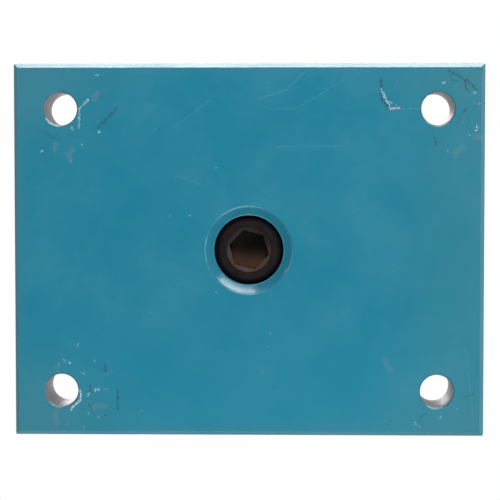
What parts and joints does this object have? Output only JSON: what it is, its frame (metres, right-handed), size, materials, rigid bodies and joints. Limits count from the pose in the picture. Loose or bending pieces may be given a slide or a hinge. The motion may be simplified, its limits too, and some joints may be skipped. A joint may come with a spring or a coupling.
{
  "type": "swivel hoist ring",
  "caption": "Swivel hoist ring on a thick chamfered steel plate: a forged bail folds on a round body that turns about a socket screw sunk in the plate's back.",
  "frame": {"origin": "on the swivel axis, in the plane of the plate's mounting face", "axes": "+Z along the swivel axis from the mounting face to the ring side, +X along the plate's long side towards the folded bail"},
  "size_m": [0.25, 0.198, 0.11],
  "materials": {
    "painted_steel": "semi-gloss teal enamel with scuffs and bare hole walls",
    "black_oxide_steel": "black oxide, satin",
    "forged_steel": "drop forged, phosphated",
    "bronze": "turned bearing bronze",
    "spring_steel": "oiled spring steel",
    "zinc_plated_steel": "clear zinc plate",
    "nylon": "natural nylon"
  },
  "bodies": {
    "base": {"mounting_plate": "painted_steel", "swivel_bolt": "black_oxide_steel", "bushing": "black_oxide_steel", "retaining_ring": "spring_steel", "lower_thrust_washer": "bronze", "top_washer": "zinc_plated_steel", "lock_nut": "zinc_plated_steel", "nylon_insert": "nylon"},
    "swivel": {"swivel_body": "black_oxide_steel", "body_sleeve": "bronze", "upper_thrust_washer": "bronze", "bail_pin_left": "black_oxide_steel", "bail_pin_right": "black_oxide_steel", "pin_washer_left": "zinc_plated_steel", "pin_washer_right": "zinc_plated_steel", "roll_pin_left": "spring_steel", "roll_pin_right": "spring_steel"},
    "bail": {"bail": "forged_steel"}
  },
  "joints": [
    {"name": "swivel_turn", "type": "hinge", "parent": "base", "child": "swivel", "pos_m": [0, 0, 0.055], "axis": [0, 0, 1], "continuous": true},
    {"name": "bail_fold", "type": "hinge", "parent": "swivel", "child": "bail", "pos_m": [0, 0, 0.055], "axis": [0, -1, 0], "range_deg": [0, 194.8]}
  ]
}
